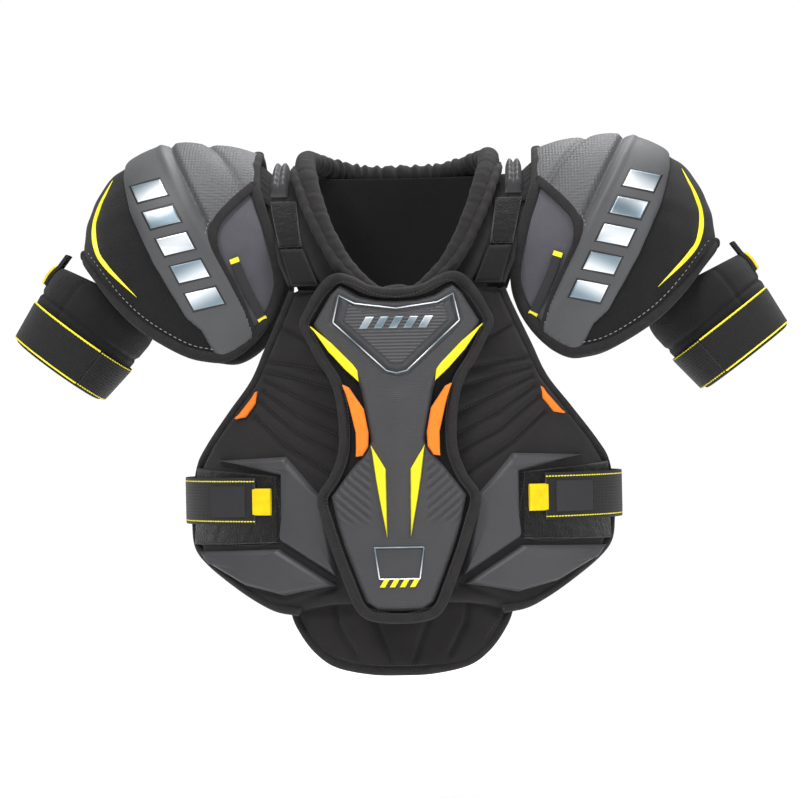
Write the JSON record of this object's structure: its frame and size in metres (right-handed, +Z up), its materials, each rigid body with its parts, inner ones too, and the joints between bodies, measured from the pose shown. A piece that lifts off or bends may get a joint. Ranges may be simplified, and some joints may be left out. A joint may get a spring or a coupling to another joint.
{
  "type": "hockey shoulder pads",
  "caption": "Padded upper-body protector with collar, domed shoulder caps, arm guards, sternum plate, rib wings, waist straps and a belly pad.",
  "frame": {"origin": "midway between the wearer's shoulders, at the height the shoulder arches bear on", "axes": "+X towards the wearer's left arm, -Y out of the chest, +Z up"},
  "size_m": [0.7728, 0.3106, 0.5225],
  "materials": {
    "lining": "black brushed knit",
    "quilt": "quilted warm black fabric",
    "binding": "woven binding tape",
    "webbing": "woven elastic webbing",
    "loop": "hook-and-loop pile",
    "knit": "black knit",
    "brushed_panel": "brushed blue-grey fabric",
    "grey_foam": "moulded foam, fine texture, satin",
    "cap_grey": "moulded foam, fine texture, satin",
    "foam_core": "plain foam",
    "orange_foam": "bright orange foam, matt",
    "yellow_trim": "yellow film, satin",
    "yellow_tab": "yellow woven tab",
    "bright_trim": "bright brushed trim"
  },
  "bodies": {
    "torso": {"back_liner": "lining", "back_panel": "quilt", "chest_panel": "quilt", "clavicle_pad_left": "loop", "clavicle_pad_right": "loop", "collar_roll": "lining", "loop_patch_left": "loop", "loop_patch_right": "loop", "rib_facet_lower_left": "grey_foam", "rib_facet_lower_right": "grey_foam", "rib_facet_upper_left": "grey_foam", "rib_facet_upper_right": "grey_foam", "shoulder_arch_left": "lining", "shoulder_arch_right": "lining", "side_insert_left": "orange_foam", "side_insert_right": "orange_foam", "spine_plate": "grey_foam", "waist_strap_rear_left": "webbing", "waist_strap_rear_right": "webbing", "yoke_pad_left": "grey_foam", "yoke_pad_right": "grey_foam"},
    "belly": {"belly_pad": "quilt"},
    "bicep_left": {"bicep_connector_left": "webbing", "bicep_guard_left": "lining", "bicep_strap_base_left": "webbing", "bicep_tab_left": "yellow_tab"},
    "bicep_right": {"bicep_connector_right": "webbing", "bicep_guard_right": "lining", "bicep_strap_base_right": "webbing", "bicep_tab_right": "yellow_tab"},
    "bicep_strap_left": {"bicep_strap_left": "webbing"},
    "bicep_strap_right": {"bicep_strap_right": "webbing"},
    "cap_left": {"cap_binding_left": "binding", "cap_emblem_left": "bright_trim", "cap_front_panel_left": "brushed_panel", "cap_knit_panel_left": "knit", "cap_liner_left": "foam_core", "cap_shell_left": "cap_grey"},
    "cap_right": {"cap_binding_right": "binding", "cap_emblem_right": "bright_trim", "cap_front_panel_right": "brushed_panel", "cap_knit_panel_right": "knit", "cap_liner_right": "foam_core", "cap_shell_right": "cap_grey"},
    "clavicle_strap_left": {"clavicle_strap_left": "webbing"},
    "clavicle_strap_right": {"clavicle_strap_right": "webbing"},
    "sternum": {"lower_blades": "yellow_trim", "model_badge": "yellow_trim", "orange_inserts": "orange_foam", "sternum_binding": "binding", "sternum_emblem": "bright_trim", "sternum_foam": "foam_core", "sternum_inset": "grey_foam", "sternum_plate": "grey_foam", "upper_blades": "yellow_trim"},
    "waist_strap_left": {"waist_strap_left": "webbing", "waist_tab_left": "yellow_tab"},
    "waist_strap_right": {"waist_strap_right": "webbing", "waist_tab_right": "yellow_tab"}
  },
  "joints": [
    {"name": "sternum_lift", "type": "hinge", "parent": "torso", "child": "sternum", "pos_m": [0, -0.118, -0.106], "axis": [-1, 0, 0], "range_deg": [0, 12]},
    {"name": "belly_fold", "type": "hinge", "parent": "torso", "child": "belly", "pos_m": [0, -0.112, -0.405], "axis": [1, 0, 0], "range_deg": [0, 25]},
    {"name": "cap_raise_left", "type": "hinge", "parent": "torso", "child": "cap_left", "pos_m": [0.136, 0, 0.005], "axis": [0, -1, 0], "range_deg": [0, 35]},
    {"name": "bicep_swing_left", "type": "hinge", "parent": "cap_left", "child": "bicep_left", "pos_m": [0.208, 0, -0.072], "axis": [0, -1, 0], "range_deg": [-8, 12]},
    {"name": "bicep_strap_peel_left", "type": "hinge", "parent": "bicep_left", "child": "bicep_strap_left", "pos_m": [0.30614, -0.05226, -0.18836], "axis": [0.6018, 0, -0.7986], "range_deg": [0, 60]},
    {"name": "waist_strap_peel_left", "type": "hinge", "parent": "torso", "child": "waist_strap_left", "pos_m": [0.21984, -0.0204, -0.321], "axis": [0, 0, 1], "range_deg": [0, 80]},
    {"name": "clavicle_strap_peel_left", "type": "hinge", "parent": "torso", "child": "clavicle_strap_left", "pos_m": [0.11, -0.06361, -0.028], "axis": [-1, 0, 0], "range_deg": [0, 45]},
    {"name": "cap_raise_right", "type": "hinge", "parent": "torso", "child": "cap_right", "pos_m": [-0.136, 0, 0.005], "axis": [0, 1, 0], "range_deg": [0, 35]},
    {"name": "bicep_swing_right", "type": "hinge", "parent": "cap_right", "child": "bicep_right", "pos_m": [-0.208, 0, -0.072], "axis": [0, 1, 0], "range_deg": [-8, 12]},
    {"name": "bicep_strap_peel_right", "type": "hinge", "parent": "bicep_right", "child": "bicep_strap_right", "pos_m": [-0.30614, -0.05226, -0.18836], "axis": [0.6018, 0, 0.7986], "range_deg": [0, 60]},
    {"name": "waist_strap_peel_right", "type": "hinge", "parent": "torso", "child": "waist_strap_right", "pos_m": [-0.21984, -0.0204, -0.321], "axis": [0, 0, -1], "range_deg": [0, 80]},
    {"name": "clavicle_strap_peel_right", "type": "hinge", "parent": "torso", "child": "clavicle_strap_right", "pos_m": [-0.11, -0.06361, -0.028], "axis": [-1, 0, 0], "range_deg": [0, 45]}
  ]
}
